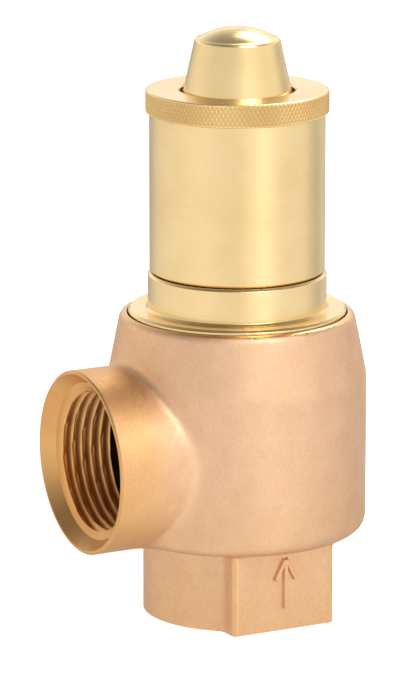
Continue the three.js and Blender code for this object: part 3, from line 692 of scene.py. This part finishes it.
def skinned(distance, low, high, step):
    """(points, quads) of a signed distance's surface on a grid, then pulled onto the surface itself."""
    counts = [int(math.ceil((high[i] - low[i]) / step)) + 1 for i in range(3)]
    lines = [low[i] + step * np.arange(counts[i]) for i in range(3)]
    grid = np.stack(np.meshgrid(*lines, indexing="ij"), -1).reshape(-1, 3)
    values = distance(grid).reshape(counts)
    inside = values < 0
    cells = [count - 1 for count in counts]
    total = np.zeros((*cells, 3))
    hits = np.zeros(cells)
    corners = [(i, j, k) for i in (0, 1) for j in (0, 1) for k in (0, 1)]

    def at(array, corner):
        return array[tuple(slice(c, c + n) for c, n in zip(corner, cells))]

    for a in corners:
        for axis in range(3):
            if a[axis]:
                continue
            b = tuple(c + (i == axis) for i, c in enumerate(a))
            value_a, value_b = at(values, a), at(values, b)
            crossed = (value_a < 0) != (value_b < 0)
            share = np.where(crossed, value_a / np.where(crossed, value_a - value_b, 1), 0)
            for i in range(3):
                total[..., i] += np.where(crossed, a[i] + (share if i == axis else 0), 0)
            hits += crossed
    used = hits > 0
    number = np.full(cells, -1)
    number[used] = np.arange(used.sum())
    base = np.stack(np.nonzero(used), 1)
    points = np.array(low) + step * (base + total[used] / hits[used][:, None])
    quads = []
    for axis in range(3):
        u, v = (axis + 1) % 3, (axis + 2) % 3
        ahead = np.roll(inside, -1, axis)
        crossed = inside != ahead
        trim = [slice(1, -1)] * 3
        trim[axis] = slice(0, -1)
        cell = np.stack(np.nonzero(crossed[tuple(trim)]), 1) + [s.start for s in trim]
        leaving = inside[tuple(cell.T)]
        around_edge = []
        for du, dv in ((-1, -1), (0, -1), (0, 0), (-1, 0)):
            moved = cell.copy()
            moved[:, u] += du
            moved[:, v] += dv
            around_edge.append(number[tuple(moved.T)])
        quad = np.stack(around_edge, 1)
        quads.append(np.where(leaving[:, None], quad, quad[:, ::-1]))
    rounds, nudge, longest_pull, least_slope = 4, 0.02, 0.3, 0.2
    for _ in range(rounds):
        value, slope = distance(points), []
        for i in range(3):
            ahead, behind = points.copy(), points.copy()
            ahead[:, i] += nudge
            behind[:, i] -= nudge
            slope.append((distance(ahead) - distance(behind)) / (2 * nudge))
        slope = np.stack(slope, 1)
        size = np.maximum((slope ** 2).sum(1), least_slope)
        points = points - np.clip(value / size, -longest_pull, longest_pull)[:, None] * slope
    return points, np.concatenate(quads)


def port_cutter(bore, floor_run, where, face_reach, outer_radius=None):
    """Tool for a threaded port: face plane, mouth, helical thread along the crest bore, then the rest."""
    crest = THREAD_CREST_R
    on_crest = [i for i in range(len(bore)) if abs(bore[i][0] - crest) < JOIN]
    start, end = on_crest[0], on_crest[-1]
    mouth_start, thread_start, thread_end = bore[start - 1][1], bore[start][1], bore[end][1]
    segments, rows_per_turn = 180, 14
    angles = np.arange(segments) / segments
    below = -3 * MM
    rows = [(0, below), (face_reach, below), (face_reach, 0)]
    if outer_radius is not None:
        edge = MACHINED_EDGE_MM * MM
        rows = [(0, below), (face_reach, below), (face_reach, 2 * edge)]
        rows += [(outer_radius + edge, 2 * edge), (outer_radius - edge, 0)]
    head = [*rows, *bore[:start - 1]]
    step = THREAD_PITCH_MM * MM / rows_per_turn
    count = int((thread_end - mouth_start) / step)
    heights = np.linspace(mouth_start, thread_end, count)
    smooth = np.interp(heights, [mouth_start, thread_start, thread_end], [bore[start - 1][0], crest, crest])
    phase = heights[:, None] / (THREAD_PITCH_MM * MM) - angles[None, :]
    flank = 0.93
    wave = 0.5 - np.arcsin(flank * np.cos(2 * math.pi * phase)) / (2 * math.asin(flank))
    thread = np.maximum(smooth[:, None], crest + wave * THREAD_DEPTH_MM * MM)
    tail = [*bore[end + 1:], *floor_run]
    radii = [np.full((1, segments), radius) for radius, _ in head] + [thread]
    radii += [np.full((1, segments), radius) for radius, _ in tail]
    all_heights = [height for _, height in head] + heights.tolist() + [height for _, height in tail]
    return rows_round("port", np.concatenate(radii), all_heights, where, False)


ARROW_CENTRE_MM = 0.2
ARROW_TAIL_MM = 5.0
ARROW_TIP_MM = 16.2
ARROW_BAR_MM = 1.3
ARROW_BARB_MM = 5.4
ARROW_BARB_LEAN_DEG = 28
ARROW_RAISED_MM = 0.7


def arrow_bar(length, lean_deg):
    """Bar of the raised arrow, hanging from its tip at an angle, with its sides drafted like a casting's."""
    sunk, draft = 0.5, 0.3
    lean = math.radians(lean_deg)
    down = Vector((-math.sin(lean), -math.cos(lean)))
    across = Vector((math.cos(lean), -math.sin(lean)))
    tip = Vector((ARROW_CENTRE_MM, ARROW_TIP_MM))
    points = []
    rows = ((0.0, -sunk), (0.0, 0.0), (0.6 * draft, 0.75 * ARROW_RAISED_MM), (draft, ARROW_RAISED_MM))
    for inset, raised in rows:
        half = ARROW_BAR_MM / 2 - inset
        for side, along in ((-half, inset), (half, inset), (half, length - inset), (-half, length - inset)):
            spot = tip + across * side + down * along
            points.append((AXIS.x + spot.x * MM, -(FLAT_Y_MM + raised) * MM, spot.y * MM))
    faces = [(0, 1, 2, 3), (15, 14, 13, 12)]
    for low in (0, 4, 8):
        faces += [(low + i, low + i + 4, low + (i + 1) % 4 + 4, low + (i + 1) % 4) for i in range(4)]
    mesh = bpy.data.meshes.new("arrow_bar")
    mesh.from_pydata(points, [], faces)
    return new_object("arrow_bar", mesh)


def flow_arrow():
    """Three raised bars on the front flat that point from the inlet up into the valve."""
    arrow = arrow_bar(ARROW_TIP_MM - ARROW_TAIL_MM, 0)
    combine(arrow, arrow_bar(ARROW_BARB_MM, ARROW_BARB_LEAN_DEG), "UNION")
    return combine(arrow, arrow_bar(ARROW_BARB_MM, -ARROW_BARB_LEAN_DEG), "UNION")


def cast_body():
    skin = Skin()
    half, past = SKIN_HALF_WIDTH_MM, SKIN_PAST_FACE_MM + TABLE_MARGIN_MM
    low = ((OUTLET_FACE_X - AXIS.x) / MM - TABLE_MARGIN_MM, -half, -past)
    high = (half, half, BODY_TOP_MM + past)
    points, quads = skinned(skin, low, high, GRID_MM)
    mesh = bpy.data.meshes.new("valve_body")
    mesh.from_pydata((points * MM + np.array(AXIS)).tolist(), [], quads.tolist())
    body = new_object("valve_body", mesh)
    combine(body, flow_arrow(), "UNION")
    past_body, past_branch = 45 * MM, 30 * MM
    crown = BODY_BORE[-1][1]
    over = crown + 4 * MM
    edge = MACHINED_EDGE_MM * MM
    top_outer = max(v.co.x - AXIS.x for v in NODES["valve_body"].data.vertices if v.co.z > crown - JOIN)
    above = [(top_outer - edge, crown), (top_outer + edge, crown - edge)]
    above += [(past_body, crown - edge), (past_body, over), (0, over)]
    combine(body, port_cutter(BODY_BORE, above, SPINDLE_EAST, past_body), "DIFFERENCE")
    end = (0, OUTLET_BORE[-1][1])
    combine(body, port_cutter(OUTLET_BORE, [end], OUTLET_INWARD, past_branch, OUTLET_R), "DIFFERENCE")
    mesh = body.data
    mesh.materials.clear()
    for material in (CAST_BRONZE, BORED_BRONZE, OUTLET_SHADED_BRONZE, CAVITY_PAINTED_SHADE):
        mesh.materials.append(material)
    centres = np.empty(len(mesh.polygons) * 3)
    mesh.polygons.foreach_get("center", centres)
    centres = (centres.reshape(-1, 3) - np.array(AXIS)) / MM
    machined = skin(centres) < -MACHINED_PAST_SKIN_MM
    in_outlet = np.hypot(centres[:, 1], centres[:, 2] - OUTLET_Z / MM) < OUTLET_R / MM + 1
    in_outlet &= centres[:, 0] < OUTLET_FINISH_X_MM
    cast, bored, outlet, shaded_cavity = range(4)
    # Faces in the outlet bore get the darker, painted-shade copy of machined bronze.
    finish = np.where(in_outlet, outlet, bored)
    # Faces deep in the outlet past the threads and inside the body's cavity get the painted shade.
    finish[in_outlet & (centres[:, 0] > THREADS_END_X_MM)] = shaded_cavity
    finish[~in_outlet & (centres[:, 2] > CAVITY_FLOOR_MM) & (centres[:, 2] < CAVITY_TOP_MM)] = shaded_cavity
    mesh.polygons.foreach_set("material_index", np.where(machined, finish, cast).astype(np.int32))
    return body


stands_for(cast_body(), "valve_body", None, 38)

# ---- Bonnet, cap and knob ----

KNURL_TEETH = 130
KNURL_DEPTH_MM = 0.26
KNURL_SLANT_DEG = 30
KNURL_ROWS = 32
RIB_GAP_DEG = 4.5
RIB_INNER_MM = 14.7
RIB_BOTTOM_MM = 108.0


def bonnet():
    piece = turned_piece("bonnet", SPINDLE_FRONT)
    low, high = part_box("turn_stop_pin")
    pin = centre("turn_stop_pin")
    clearance = 0.05 * MM
    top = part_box("bonnet")[1].z + 1 * MM
    radius = (high.x - low.x) / 2 + clearance
    hole = rod(radius, low.z - clearance, top, place(Vector((pin.x, pin.y, 0)), UP, EAST))
    return combine(piece, hole, "DIFFERENCE")


def knurled_cap():
    """Cap shell turned from its section, with crossed V grooves cut into its ring, which gets a darker brass
    as painted shade.
    """
    run, _ = section("lifting_cap", SPINDLE_FRONT)
    crest = max(r for r, _ in run)
    band = [z for r, z in run if r > crest - JOIN]
    bottom, top = min(band), max(band)
    run = [p for p in run if not (p[1] in (bottom, top) and p[0] < crest - JOIN)]
    run = rounded(run, True)
    split = next(i for i, p in enumerate(run) if p[0] > crest - JOIN and run[i + 1][0] > crest - JOIN)
    (_, start), (_, end) = run[split], run[split + 1]
    band_rows = [(crest, start + (end - start) * i / KNURL_ROWS) for i in range(1, KNURL_ROWS)]
    run = run[: split + 1] + band_rows + run[split + 1 :]
    radii = np.array([r for r, _ in run])[:, None]
    heights = np.array([z for _, z in run])[:, None]
    segments = 8 * KNURL_TEETH
    along = KNURL_TEETH * np.arange(segments)[None, :] / segments
    slant = math.tan(math.radians(KNURL_SLANT_DEG)) * KNURL_TEETH / (2 * math.pi * crest)
    ridges = [2 * np.abs((along + sign * heights * slant) % 1 - 0.5) for sign in (1, -1)]
    groove_floor = crest - KNURL_DEPTH_MM * MM * (1 - np.minimum(*ridges))
    bevel, near_crest = 0.7 * MM, 1 * MM
    on_ring = (heights > start - bevel) & (heights < end + bevel) & (radii > crest - near_crest)
    radii = np.where(on_ring, np.minimum(radii, groove_floor), radii)
    cap = rows_round("lifting_cap", radii, [z for _, z in run], SPINDLE_EAST, True)
    for material in (TURNED_BRASS, KNURLED_BRASS_SHADED):
        cap.data.materials.append(material)
    # The ring's faces get the darker brass: painted shade in the knurl's grooves.
    for face in cap.data.polygons:
        spot = face.center
        if start < spot.z < end and math.hypot(spot.x - AXIS.x, spot.y) > crest - near_crest:
            face.material_index = 1
    return cap


def stop_rib(wall_r, ceiling):
    """Curved bar under the cap's ceiling, a little sunk into the wall and the ceiling."""
    sunk = 0.2 * MM
    steps = 60
    start, end = math.radians(90 + RIB_GAP_DEG), math.radians(270 - RIB_GAP_DEG)
    angles = [start + (end - start) * i / steps for i in range(steps + 1)]
    outer = [(AXIS.x + (wall_r + sunk) * math.cos(a), (wall_r + sunk) * math.sin(a)) for a in angles]
    inner = [(AXIS.x + RIB_INNER_MM * MM * math.cos(a), RIB_INNER_MM * MM * math.sin(a)) for a in angles]
    return prism("rib", outer + inner[::-1], RIB_BOTTOM_MM * MM, ceiling + sunk)


def lifting_cap():
    run, _ = section("lifting_cap", SPINDLE_FRONT)
    wall_r = min(r for r, z in run if z < min(z for _, z in run) + 1 * MM)
    hole_r = min(r for r, _ in run)
    ceiling = min(z for r, z in run if r < hole_r + JOIN)
    return combine(knurled_cap(), stop_rib(wall_r, ceiling), "UNION")


stands_for(bonnet(), "bonnet", TURNED_BRASS)
stands_for(lifting_cap(), "lifting_cap", None, 30)
stands_for(turned_piece("lifting_knob", SPINDLE_FRONT), "lifting_knob", TURNED_BRASS)

# ---- Screws and nuts ----

SETTING_PITCH_MM = 1.5
SETTING_THREAD_DEPTH_MM = 0.45
KEY_HOLE_R_MM = 1.5
KEY_HOLE_RADIUS_MM = 10.0
KEY_HOLE_DEPTH_MM = 3.0
SLOT_WIDTH_MM = 3.0
SLOT_DEPTH_MM = 1.3


def jam_nut():
    """Hexagon nut with its corners chamfered at both faces."""
    low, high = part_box("knob_jam_nut")
    corner_r = high.x - AXIS.x
    run, _ = section("knob_jam_nut", SPINDLE_EAST)
    bore_r = min(r for r, _ in run)
    chamfer_r, chamfer = 0.88 * corner_r, 0.5 * MM
    blank = [(bore_r, low.z), (chamfer_r, low.z), (corner_r, low.z + chamfer)]
    blank += [(corner_r, high.z - chamfer), (chamfer_r, high.z), (bore_r, high.z)]
    nut = turned("knob_jam_nut", rounded(blank, True), True, SPINDLE_EAST)
    return combine(nut, prism("hexagon", hexagon(corner_r), low.z - chamfer, high.z + chamfer), "INTERSECT")


def disc_screw():
    """Screw whose section begins with its socket: the axis, the socket's corner, and the socket's rim."""
    (_, ceiling), (socket_r, _), (_, head_bottom), *rest = section("disc_screw", SPINDLE_EAST)[0]
    run = rounded([(0, head_bottom), *rest], False)
    screw = turned("disc_screw", run, False, SPINDLE_EAST)
    socket = prism("socket", hexagon(socket_r), head_bottom - 1 * MM, ceiling)
    return combine(screw, socket, "DIFFERENCE")


def threaded_outside(node):
    """Turned piece with a helical thread round its outside, whose crests are the CAD radius."""
    run, _ = section(node, SPINDLE_FRONT)
    run = rounded(run, True)
    crest = max(r for r, _ in run)
    split = next(i for i, p in enumerate(run) if p[0] > crest - JOIN and run[i + 1][0] > crest - JOIN)
    start, end = run[split][1], run[split + 1][1]
    rows_per_turn, near_crest = 12, 1 * MM
    rows_count = math.ceil((end - start) / (SETTING_PITCH_MM * MM / rows_per_turn))
    wall_rows = [(crest, start + (end - start) * i / rows_count) for i in range(1, rows_count)]
    run = run[: split + 1] + wall_rows + run[split + 1 :]
    heights = np.array([z for _, z in run])[:, None]
    radii = np.array([r for r, _ in run])[:, None]
    segments = ROUND_SEGMENTS
    phase = heights / (SETTING_PITCH_MM * MM) - np.arange(segments)[None, :] / segments
    groove = crest - SETTING_THREAD_DEPTH_MM * MM * 2 * np.abs(phase % 1 - 0.5)
    radii = np.where(radii > crest - near_crest, np.minimum(radii, groove), radii)
    return rows_round(node, radii, [z for _, z in run], SPINDLE_EAST, True)


def adjusting_screw():
    screw = threaded_outside("adjusting_screw")
    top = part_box("adjusting_screw")[1].z
    for side in (1, -1):
        spot = AXIS + EAST * side * KEY_HOLE_RADIUS_MM * MM
        hole = rod(KEY_HOLE_R_MM * MM, top - KEY_HOLE_DEPTH_MM * MM, top + 1 * MM, place(spot, UP, EAST))
        combine(screw, hole, "DIFFERENCE")
    return screw


def lock_nut():
    nut = threaded_outside("lock_nut")
    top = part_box("lock_nut")[1].z
    half, reach = SLOT_WIDTH_MM * MM / 2, 18 * MM
    slot = [(AXIS.x - reach, -half), (AXIS.x + reach, -half), (AXIS.x + reach, half), (AXIS.x - reach, half)]
    return combine(nut, prism("slot", slot, top - SLOT_DEPTH_MM * MM, top + 1 * MM), "DIFFERENCE")


stands_for(jam_nut(), "knob_jam_nut", STAINLESS)
stands_for(disc_screw(), "disc_screw", STAINLESS)
stands_for(adjusting_screw(), "adjusting_screw", TURNED_BRASS)
stands_for(lock_nut(), "lock_nut", TURNED_BRASS)

# ---- Spring ----

WIRE_R_MM = 1.6
SPRING_TURNS = 7
CLOSED_GAP_MM = 0.25
GROUND_INSET_MM = 0.6


def pressure_spring():
    """Wire swept along a helix with a closed, flat-ground turn at each end."""
    low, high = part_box("pressure_spring")
    wire_r = WIRE_R_MM * MM
    mean_r = (high.x - low.x) / 2 - wire_r
    rise = high.z - low.z - 2 * GROUND_INSET_MM * MM
    closed_pitch = 2 * wire_r + CLOSED_GAP_MM * MM
    open_pitch = (rise - 2 * closed_pitch) / (SPRING_TURNS - 2)
    steps, sides = 60 * SPRING_TURNS, 20
    turn = np.arange(steps + 1) * SPRING_TURNS / steps
    ends = np.minimum(turn, 1) + np.maximum(turn - (SPRING_TURNS - 1), 0)
    open_turns = np.clip(turn - 1, 0, SPRING_TURNS - 2)
    height = low.z + GROUND_INSET_MM * MM + ends * closed_pitch + open_turns * open_pitch
    angle = 2 * math.pi * turn
    outward = np.stack([np.cos(angle), np.sin(angle), np.zeros(steps + 1)], 1)
    path = outward * mean_r + np.stack([np.full(steps + 1, AXIS.x), np.zeros(steps + 1), height], 1)
    tangent = np.gradient(path, axis=0)
    tangent /= np.linalg.norm(tangent, axis=1)[:, None]
    across = np.cross(tangent, outward)
    spots = 2 * math.pi * np.arange(sides) / sides
    points = path[:, None] + wire_r * (outward[:, None] * np.cos(spots)[None, :, None]
                                       - across[:, None] * np.sin(spots)[None, :, None])
    points[..., 2] = np.clip(points[..., 2], low.z, high.z)
    index = np.arange(sides)
    following = (index + 1) % sides
    faces = [index[::-1].tolist(), (steps * sides + index).tolist()]
    for row in range(steps):
        here, above = row * sides, (row + 1) * sides
        faces += np.stack([here + index, here + following, above + following, above + index], 1).tolist()
    mesh = bpy.data.meshes.new("pressure_spring")
    mesh.from_pydata(points.reshape(-1, 3).tolist(), [], faces)
    return new_object("pressure_spring", mesh)


def follow(piece, body, share):
    """Moves a piece's points with a body that only slides, each by its own share."""
    group = piece.vertex_groups.new(name=body)
    for vertex in piece.data.vertices:
        group.add([vertex.index], share(vertex.co.z), "REPLACE")
    hook = piece.modifiers.new("Follows " + body, "HOOK")
    hook.object = frame["bodies"][body]
    hook.vertex_group = group.name
    hook.matrix_inverse = frame["bodies"][body].matrix_world.inverted()


spring = stands_for(pressure_spring(), "pressure_spring", SPRING_STEEL)
spring_low, spring_high = (corner.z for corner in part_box("pressure_spring"))
SPRING_LENGTH = spring_high - spring_low
follow(spring, "lift_washer", lambda z: (spring_high - z) / SPRING_LENGTH)
follow(spring, "spring_plate", lambda z: (z - spring_low) / SPRING_LENGTH)
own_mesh(spring)

# ---- Stage, light and camera ----

VIEW_AZIMUTH_DEG = -28.0
VIEW_ELEVATION_DEG = 13.5
VIEW_DISTANCE = 1.1
LENS_MM = 264.2
AIM_RIGHT_MM = -5.95
AIM_UP_MM = 22.7
WORLD_STRENGTH = 1.5
FLOOR_GLOW = 0.7

# Light of the studio's walls, below and above the camera's height, by degrees to the right of the camera
LOW_WALL_LIGHT = (
    (-180, 0.55), (-155, 0.5), (-128, 0.86), (-95, 0.97), (-45, 1.07), (-16, 0.96), (4, 0.97), (20, 1.15),
    (34, 1.45), (46, 1.2), (58, 0.98), (98, 0.97), (112, 0.72), (128, 0.58), (142, 0.78), (180, 0.6),
)
HIGH_WALL_LIGHT = (
    (-180, 1.3), (-120, 1.25), (-90, 0.95), (-60, 0.82), (-10, 0.86),
    (25, 1.1), (60, 1.05), (120, 1.15), (180, 1.25),
)


def view_axes():
    azimuth, elevation = math.radians(VIEW_AZIMUTH_DEG), math.radians(VIEW_ELEVATION_DEG)
    level = math.cos(elevation)
    back = Vector((math.sin(azimuth) * level, -math.cos(azimuth) * level, math.sin(elevation)))
    right = Vector((math.cos(azimuth), math.sin(azimuth), 0))
    return right, back.cross(right), back


VIEW_RIGHT, VIEW_UP, VIEW_BACK = view_axes()
LEVEL_BACK = Vector((VIEW_BACK.x, VIEW_BACK.y, 0)).normalized()


def camera():
    data = bpy.data.cameras.new("camera")
    data.lens = LENS_MM
    eye = bpy.data.objects.new("camera", data)
    bpy.context.scene.collection.objects.link(eye)
    aim = AXIS + UP * OUTLET_Z + VIEW_RIGHT * AIM_RIGHT_MM * MM + VIEW_UP * AIM_UP_MM * MM
    eye.location = aim + VIEW_BACK * VIEW_DISTANCE
    eye.rotation_mode = "QUATERNION"
    eye.rotation_quaternion = VIEW_BACK.to_track_quat("Z", "Y")
    bpy.context.scene.camera = eye


def floor():
    """Wide pale floor that metal doesn't reflect: the studio round it is drawn by the world."""
    radius, below = 6.0, 0.02 * MM
    disc = turned("floor", [(0, 0), (radius, 0)], False, place(AXIS - UP * below, UP, EAST), 96)
    material, tree, surface = new_material("pale floor")
    speckle = noise(tree, object_space(tree), 40, 2)
    tree.links.new(ramp(tree, speckle, (0.4, 0.95), (0.6, 0.97)), surface.inputs["Base Color"])
    surface.inputs["Roughness"].default_value = 0.9
    surface.inputs["Specular IOR Level"].default_value = 0.1
    surface.inputs["Emission Color"].default_value = (1, 1, 1, 1)
    surface.inputs["Emission Strength"].default_value = FLOOR_GLOW
    disc.data.materials.append(material)
    disc.visible_glossy = False


def studio():
    """World of white walls with darker gaps, and a plain white backdrop for the camera."""
    world = bpy.data.worlds.new("studio")
    world.use_nodes = True
    bpy.context.scene.world = world
    tree = world.node_tree
    tree.nodes.clear()
    direction = add(tree, "TexCoord").outputs["Generated"]

    def along(axis):
        return add(tree, "VectorMath", {0: direction, 1: axis}, operation="DOT_PRODUCT").outputs["Value"]

    angle = calculate(tree, "ARCTAN2", along(VIEW_RIGHT), along(LEVEL_BACK))
    turn = calculate(tree, "ADD", calculate(tree, "DIVIDE", angle, 2 * math.pi), 0.5)

    def walls_at(stops):
        return ramp(tree, turn, *[(degrees / 360 + 0.5, light / WORLD_STRENGTH) for degrees, light in stops])

    height = add(tree, "SeparateXYZ", {0: direction}).outputs["Z"]
    upper = ramp(tree, calculate(tree, "ADD", height, 0.5), (0.55, 0.0), (0.7, 1.0))
    walls = mixed(tree, upper, walls_at(LOW_WALL_LIGHT), walls_at(HIGH_WALL_LIGHT))
    level = ramp(tree, height, (0.0, 1.0), (0.3, 1.0), (0.5, 0.6), (0.75, 0.28), (1.0, 0.2))
    seen = mixed(tree, 1.0, walls, level, "MULTIPLY")
    room = add(tree, "Background", {"Color": seen, "Strength": WORLD_STRENGTH})
    backdrop = add(tree, "Background", {"Color": (1, 1, 1, 1), "Strength": 1.0})
    is_camera = add(tree, "LightPath").outputs["Is Camera Ray"]
    mix = add(tree, "MixShader", {0: is_camera, 1: room.outputs[0], 2: backdrop.outputs[0]})
    output = add(tree, "OutputWorld")
    tree.links.new(mix.outputs[0], output.inputs["Surface"])


def softbox(name, angle_deg, elevation_deg, distance, size, watts):
    """Square area light at an angle round the object from the camera, facing the object."""
    angle, elevation = math.radians(angle_deg), math.radians(elevation_deg)
    level = LEVEL_BACK * math.cos(angle) + VIEW_RIGHT * math.sin(angle)
    heading = level * math.cos(elevation) + UP * math.sin(elevation)
    data = bpy.data.lights.new(name, "AREA")
    data.size = size
    data.energy = watts
    lamp = bpy.data.objects.new(name, data)
    bpy.context.scene.collection.objects.link(lamp)
    lamp.location = AXIS + UP * OUTLET_Z + heading * distance
    lamp.rotation_mode = "QUATERNION"
    lamp.rotation_quaternion = heading.to_track_quat("Z", "Y")


camera()
floor()
studio()
softbox("key", angle_deg=32, elevation_deg=42, distance=1.1, size=0.55, watts=5)
softbox("rim", angle_deg=162, elevation_deg=48, distance=1.2, size=0.4, watts=2.5)
bpy.context.scene.view_settings.view_transform = "Standard"
